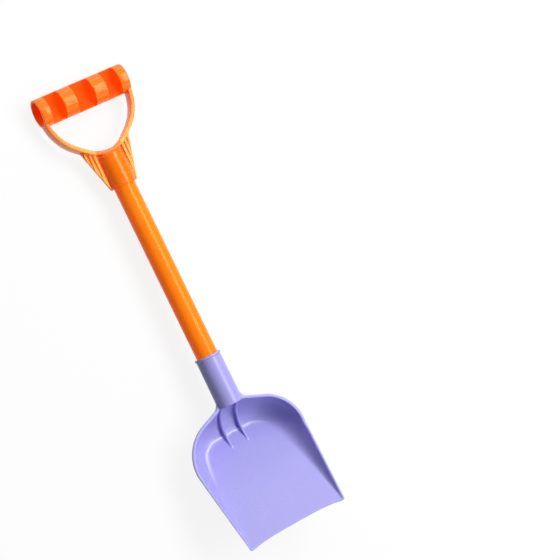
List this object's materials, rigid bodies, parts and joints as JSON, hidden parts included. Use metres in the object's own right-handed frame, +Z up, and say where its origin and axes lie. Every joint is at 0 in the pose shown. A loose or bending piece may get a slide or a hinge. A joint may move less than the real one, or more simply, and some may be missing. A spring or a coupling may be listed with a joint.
{
  "type": "toy sand shovel",
  "caption": "Toy sand shovel: broad square-ended scoop with raised sides and stiffening fins, straight tube shaft, and a D handle with a hollow banded grip",
  "frame": {"origin": "On the floor under the middle of the shovel's length, in its plane of symmetry, with the shovel lying open side up on the heel of its scoop and its grip", "axes": "+X across the shovel, along the grip; +Y from the scoop towards the handle; +Z up, the way the scoop opens"},
  "size_m": [0.1132, 0.4348, 0.0611],
  "materials": {
    "handle_plastic": "moulded, glossy",
    "shaft_plastic": "extruded, glossy",
    "scoop_plastic": "moulded, satin gloss"
  },
  "bodies": {
    "root": {"d_handle": "handle_plastic", "shaft": "shaft_plastic", "scoop": "scoop_plastic"}
  },
  "joints": []
}
